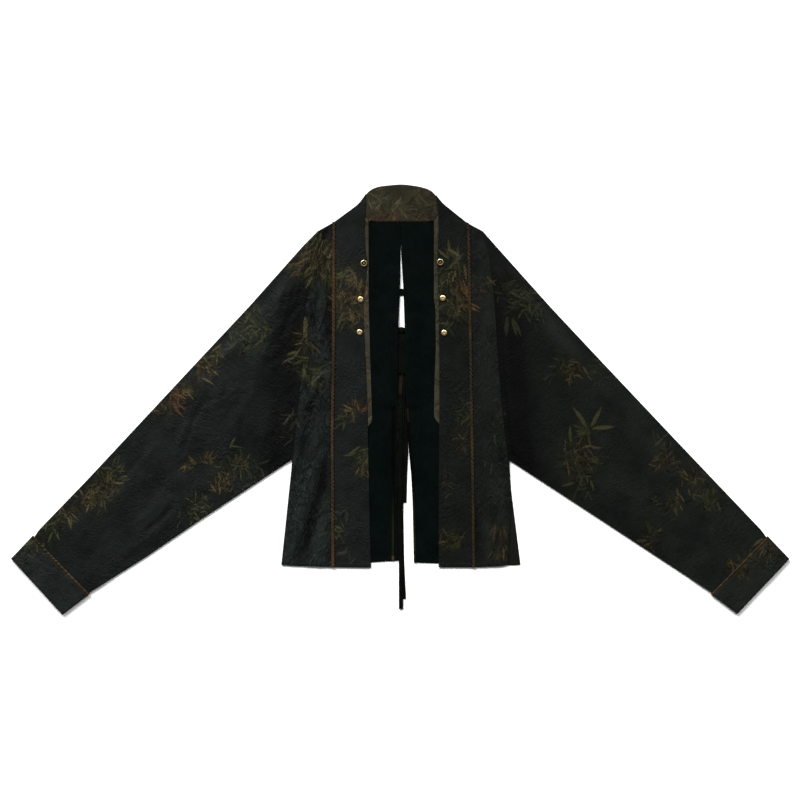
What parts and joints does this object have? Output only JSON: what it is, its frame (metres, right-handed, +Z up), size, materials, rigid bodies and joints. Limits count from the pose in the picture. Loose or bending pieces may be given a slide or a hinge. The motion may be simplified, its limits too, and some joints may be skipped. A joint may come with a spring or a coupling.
{
  "type": "hanfu jacket",
  "caption": "Short open jacket with a standing collar, wide tapered sleeves, turned cuffs, piped front bands, snaps and a tied back opening, laid flat and face up.",
  "frame": {"origin": "middle of the jacket's outline, on the surface it lies on", "axes": "+X toward the wearer's left sleeve, on the right of the picture; +Y toward the collar; +Z up, out of the garment's face"},
  "size_m": [1.4386, 0.7958, 0.0067],
  "materials": {
    "face_cloth": "black crinkled silk with a jacquard of bamboo leaves in olive and ochre, low sheen",
    "inner_cloth": "smooth dark lining, low sheen",
    "facing_jacquard": "olive-brown jacquard, soft sheen",
    "brown_cloth": "brown piping and bound edges, matt",
    "snap_brass": "polished"
  },
  "bodies": {
    "root": {"front_left": "face_cloth", "front_right": "face_cloth", "band_left": "face_cloth", "band_right": "face_cloth", "collar_outer": "face_cloth", "sleeve_left": "face_cloth", "sleeve_right": "face_cloth", "cuff_left": "face_cloth", "cuff_right": "face_cloth", "tie_upper_bar": "face_cloth", "tie_upper_tail": "face_cloth", "tie_lower_bar": "face_cloth", "tie_lower_knot": "face_cloth", "tie_lower_loop_left": "face_cloth", "tie_lower_loop_right": "face_cloth", "tie_lower_tail_left": "face_cloth", "tie_lower_tail_right": "face_cloth", "back_left": "inner_cloth", "back_right": "inner_cloth", "facing_left": "facing_jacquard", "facing_right": "facing_jacquard", "collar_lining": "facing_jacquard", "piping_front_left": "brown_cloth", "piping_front_right": "brown_cloth", "piping_cuff_left": "brown_cloth", "piping_cuff_right": "brown_cloth", "slit_facing_left": "brown_cloth", "slit_facing_right": "brown_cloth", "snap_left_1": "snap_brass", "snap_left_2": "snap_brass", "snap_left_3": "snap_brass", "snap_right_1": "snap_brass", "snap_right_2": "snap_brass", "snap_right_3": "snap_brass"}
  },
  "joints": []
}
